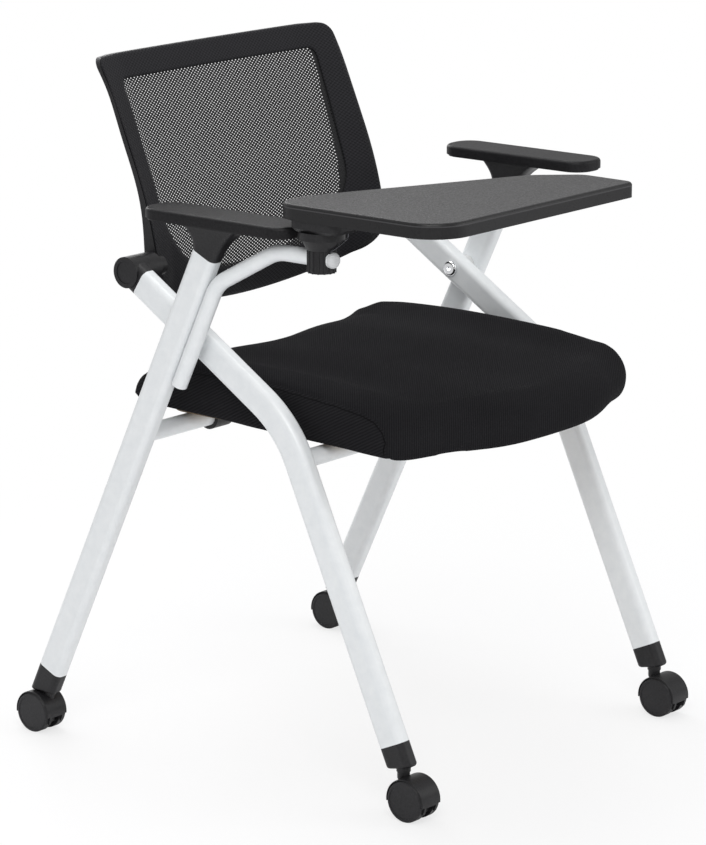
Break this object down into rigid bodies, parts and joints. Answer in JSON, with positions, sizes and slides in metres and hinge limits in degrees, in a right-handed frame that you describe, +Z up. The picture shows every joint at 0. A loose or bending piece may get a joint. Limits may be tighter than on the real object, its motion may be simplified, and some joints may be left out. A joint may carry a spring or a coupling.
{
  "type": "training chair",
  "caption": "Folding training chair on castors: white oval-tube cross frame, black mesh back, padded seat, arm rests and a swinging writing tablet.",
  "frame": {"origin": "on the floor, under the middle of the overall width and depth", "axes": "+Z up, the sitter faces -Y, the writing tablet is on -X, the sitter's right"},
  "size_m": [0.634, 0.6782, 0.8395],
  "materials": {
    "frame_white": "satin white powder coat on steel tube",
    "bolt_chrome": "bright plated steel",
    "steel": "zinc plated steel",
    "spacer_plastic": "natural nylon",
    "rubber": "black rubber",
    "castor_wheel": "black nylon",
    "castor_hood": "black nylon",
    "mesh_fabric": "open black mesh",
    "seat_fabric": "black woven upholstery",
    "seat_board": "moulded plywood",
    "tablet_plastic": "grained dark grey moulding",
    "cap_grey": "grey domed stopper",
    "black_plastic": "fine grained black moulding"
  },
  "bodies": {
    "front_frame": {"back_bracket_left": "black_plastic", "back_bracket_right": "black_plastic", "back_pivot_caps": "black_plastic", "back_torsion_bushes": "rubber", "front_crossbar": "frame_white", "front_leg_left": "frame_white", "front_leg_right": "frame_white", "leg_plug_front_left": "black_plastic", "leg_plug_front_right": "black_plastic", "pivot_bolts": "bolt_chrome", "pivot_spacers": "spacer_plastic"},
    "rear_frame": {"arm_pad_left": "black_plastic", "arm_pad_right": "black_plastic", "arm_screws": "steel", "arm_support_left": "black_plastic", "arm_support_right": "black_plastic", "leg_plug_rear_left": "black_plastic", "leg_plug_rear_right": "black_plastic", "pivot_nuts": "bolt_chrome", "rear_crossbar": "frame_white", "rear_leg_left": "frame_white", "rear_leg_right": "frame_white", "tablet_arm_tube": "frame_white", "tablet_tube_cap": "cap_grey"},
    "seat": {"seat_cushion": "seat_fabric", "seat_front_saddles": "black_plastic", "seat_hinge_clamps": "black_plastic", "seat_pan": "seat_board", "seat_screws": "steel"},
    "backrest": {"back_frame": "black_plastic", "back_mesh": "mesh_fabric", "back_pivot_shafts": "steel"},
    "tablet_arm": {"tablet_hub": "black_plastic", "tablet_latch_wire": "steel", "tablet_swivel_pin": "steel"},
    "tablet": {"tablet_board": "tablet_plastic", "tablet_housing": "black_plastic", "tablet_screws": "steel"},
    "castor_front_right": {"castor_axle_front_right": "steel", "castor_hood_front_right": "castor_hood", "castor_stem_front_right": "steel"},
    "wheels_front_right": {"castor_wheels_front_right": "castor_wheel"},
    "castor_front_left": {"castor_axle_front_left": "steel", "castor_hood_front_left": "castor_hood", "castor_stem_front_left": "steel"},
    "wheels_front_left": {"castor_wheels_front_left": "castor_wheel"},
    "castor_rear_right": {"castor_axle_rear_right": "steel", "castor_hood_rear_right": "castor_hood", "castor_stem_rear_right": "steel"},
    "wheels_rear_right": {"castor_wheels_rear_right": "castor_wheel"},
    "castor_rear_left": {"castor_axle_rear_left": "steel", "castor_hood_rear_left": "castor_hood", "castor_stem_rear_left": "steel"},
    "wheels_rear_left": {"castor_wheels_rear_left": "castor_wheel"}
  },
  "joints": [
    {"name": "frame_fold", "type": "hinge", "parent": "front_frame", "child": "rear_frame", "pos_m": [0, 0.0799, 0.5343], "axis": [-1, 0, 0], "range_deg": [0, 34]},
    {"name": "seat_flip", "type": "hinge", "parent": "rear_frame", "child": "seat", "pos_m": [0, 0.13757, 0.4058], "axis": [-1, 0, 0], "range_deg": [0, 32]},
    {"name": "back_recline", "type": "hinge", "parent": "front_frame", "child": "backrest", "pos_m": [0, 0.17683, 0.59581], "axis": [-1, 0, 0], "range_deg": [0, 12], "stiffness_Nm_per_rad": 90, "springref_deg": -6.88},
    {"name": "tablet_flip", "type": "hinge", "parent": "rear_frame", "child": "tablet_arm", "pos_m": [-0.287, -0.1456, 0.6563], "axis": [0, -1, 0], "range_deg": [0, 90]},
    {"name": "tablet_swivel", "type": "hinge", "parent": "tablet_arm", "child": "tablet", "pos_m": [-0.287, -0.1456, 0.695], "axis": [0, 0, -1], "range_deg": [0, 90]},
    {"name": "castor_swivel_front_right", "type": "hinge", "parent": "front_frame", "child": "castor_front_right", "pos_m": [-0.2545, -0.24122, 0.05], "axis": [0, 0, 1], "continuous": true},
    {"name": "wheel_spin_front_right", "type": "hinge", "parent": "castor_front_right", "child": "wheels_front_right", "pos_m": [-0.2545, -0.25572, 0.025], "axis": [1, 0, 0], "continuous": true},
    {"name": "castor_swivel_front_left", "type": "hinge", "parent": "front_frame", "child": "castor_front_left", "pos_m": [0.2545, -0.24122, 0.05], "axis": [0, 0, 1], "continuous": true},
    {"name": "wheel_spin_front_left", "type": "hinge", "parent": "castor_front_left", "child": "wheels_front_left", "pos_m": [0.2545, -0.25572, 0.025], "axis": [1, 0, 0], "continuous": true},
    {"name": "castor_swivel_rear_right", "type": "hinge", "parent": "rear_frame", "child": "castor_rear_right", "pos_m": [-0.287, 0.29758, 0.05], "axis": [0, 0, 1], "continuous": true},
    {"name": "wheel_spin_rear_right", "type": "hinge", "parent": "castor_rear_right", "child": "wheels_rear_right", "pos_m": [-0.287, 0.31208, 0.025], "axis": [1, 0, 0], "continuous": true},
    {"name": "castor_swivel_rear_left", "type": "hinge", "parent": "rear_frame", "child": "castor_rear_left", "pos_m": [0.287, 0.29758, 0.05], "axis": [0, 0, 1], "continuous": true},
    {"name": "wheel_spin_rear_left", "type": "hinge", "parent": "castor_rear_left", "child": "wheels_rear_left", "pos_m": [0.287, 0.31208, 0.025], "axis": [1, 0, 0], "continuous": true}
  ],
  "couplings": [
    {"joint": "seat_flip", "follows": "frame_fold", "ratio": 0.94117}
  ]
}
